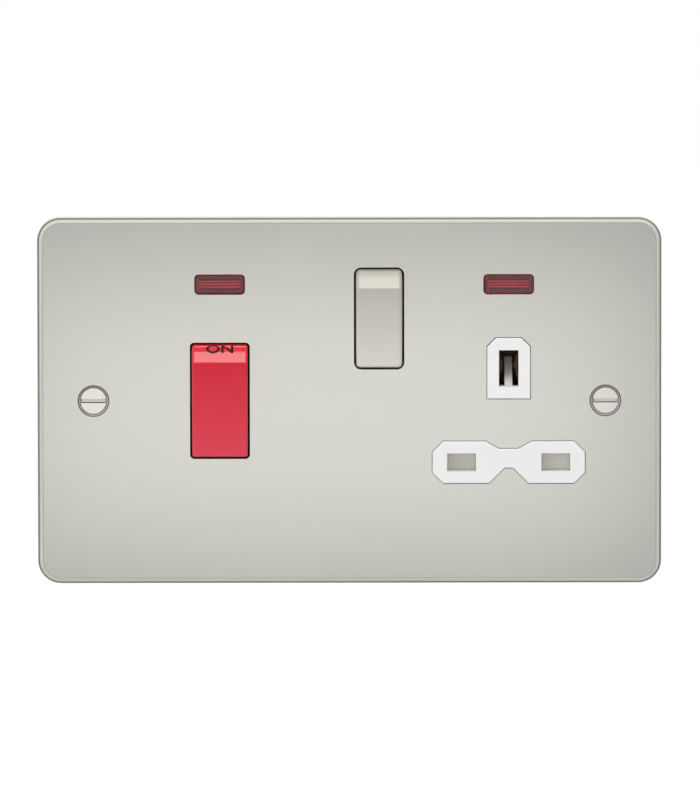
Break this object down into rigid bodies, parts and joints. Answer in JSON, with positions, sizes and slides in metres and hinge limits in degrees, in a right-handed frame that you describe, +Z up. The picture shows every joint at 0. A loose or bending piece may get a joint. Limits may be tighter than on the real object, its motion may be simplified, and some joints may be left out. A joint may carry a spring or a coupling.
{
  "type": "cooker control unit",
  "caption": "Flush wall unit with a red double-pole cooker switch, a switched three-pin outlet and neon indicators behind a satin steel plate.",
  "frame": {"origin": "on the wall plane, midway between the two fixing screws", "axes": "+X to the user's right, +Y into the wall, +Z up"},
  "size_m": [0.147, 0.0291, 0.0864],
  "materials": {
    "steel": "satin",
    "screw_steel": "bright plated",
    "white_moulding": "moulded, satin",
    "base_moulding": "moulded, satin",
    "red_rocker": "moulded, gloss",
    "metal_rocker": "satin plated",
    "red_lens": "clear tinted",
    "lamp_glass": "clear",
    "resistor": "lacquered",
    "copper_lead": "tinned wire",
    "brass": "bright stamped",
    "spring_steel": "drawn wire",
    "plunger_nylon": "moulded"
  },
  "bodies": {
    "housing": {"front_plate": "steel", "front_moulding": "white_moulding", "rear_moulding": "base_moulding", "fixing_screws": "screw_steel", "case_screws": "screw_steel", "live_in_terminal": "brass", "neutral_in_terminal": "brass", "live_out_terminal": "brass", "neutral_out_terminal": "brass", "line_terminal_screws": "screw_steel", "socket_feed_link": "brass", "live_contact": "brass", "neutral_contact": "brass", "neutral_link": "brass", "earth_contact": "brass", "earth_terminal": "brass", "earth_terminal_screws": "screw_steel", "shutter_spring": "spring_steel", "cooker_neon_lens": "red_lens", "socket_neon_lens": "red_lens", "cooker_neon_lamp": "lamp_glass", "socket_neon_lamp": "lamp_glass", "cooker_neon_resistor": "resistor", "socket_neon_resistor": "resistor", "cooker_neon_lead": "copper_lead", "socket_neon_lead": "copper_lead"},
    "cooker_rocker": {"cooker_rocker": "red_rocker", "cooker_live_plunger": "plunger_nylon", "cooker_neutral_plunger": "plunger_nylon", "cooker_live_spring": "spring_steel", "cooker_neutral_spring": "spring_steel"},
    "socket_rocker": {"socket_rocker": "metal_rocker", "socket_plunger": "plunger_nylon", "socket_switch_spring": "spring_steel"},
    "cooker_live_arm": {"cooker_live_arm": "brass"},
    "cooker_neutral_arm": {"cooker_neutral_arm": "brass"},
    "socket_arm": {"socket_arm": "brass"},
    "shutter": {"shutter": "white_moulding"}
  },
  "joints": [
    {"name": "cooker_rocker_tilt", "type": "hinge", "parent": "housing", "child": "cooker_rocker", "pos_m": [-0.0305, -0.0018, 0], "axis": [-1, 0, 0], "range_deg": [0, 16.4]},
    {"name": "cooker_live_arm_tilt", "type": "hinge", "parent": "housing", "child": "cooker_live_arm", "pos_m": [-0.0271, 0.0113, 0], "axis": [1, 0, 0], "range_deg": [0, 18]},
    {"name": "cooker_neutral_arm_tilt", "type": "hinge", "parent": "housing", "child": "cooker_neutral_arm", "pos_m": [-0.0339, 0.0113, 0], "axis": [1, 0, 0], "range_deg": [0, 18]},
    {"name": "socket_rocker_tilt", "type": "hinge", "parent": "housing", "child": "socket_rocker", "pos_m": [0.007, -0.0018, 0.0194], "axis": [-1, 0, 0], "range_deg": [0, 16.4]},
    {"name": "socket_arm_tilt", "type": "hinge", "parent": "housing", "child": "socket_arm", "pos_m": [0.007, 0.0113, 0.0194], "axis": [1, 0, 0], "range_deg": [0, 18]},
    {"name": "shutter_slide", "type": "slide", "parent": "housing", "child": "shutter", "axis": [0, 0, -1], "range_m": [0, 0.0062], "stiffness_N_per_m": 120, "springref_m": -0.004, "deforming": ["shutter_spring"]}
  ],
  "couplings": [
    {"joint": "cooker_live_arm_tilt", "follows": "cooker_rocker_tilt", "ratio": 1.0976},
    {"joint": "cooker_neutral_arm_tilt", "follows": "cooker_rocker_tilt", "ratio": 1.0976},
    {"joint": "socket_arm_tilt", "follows": "socket_rocker_tilt", "ratio": 1.0976}
  ]
}
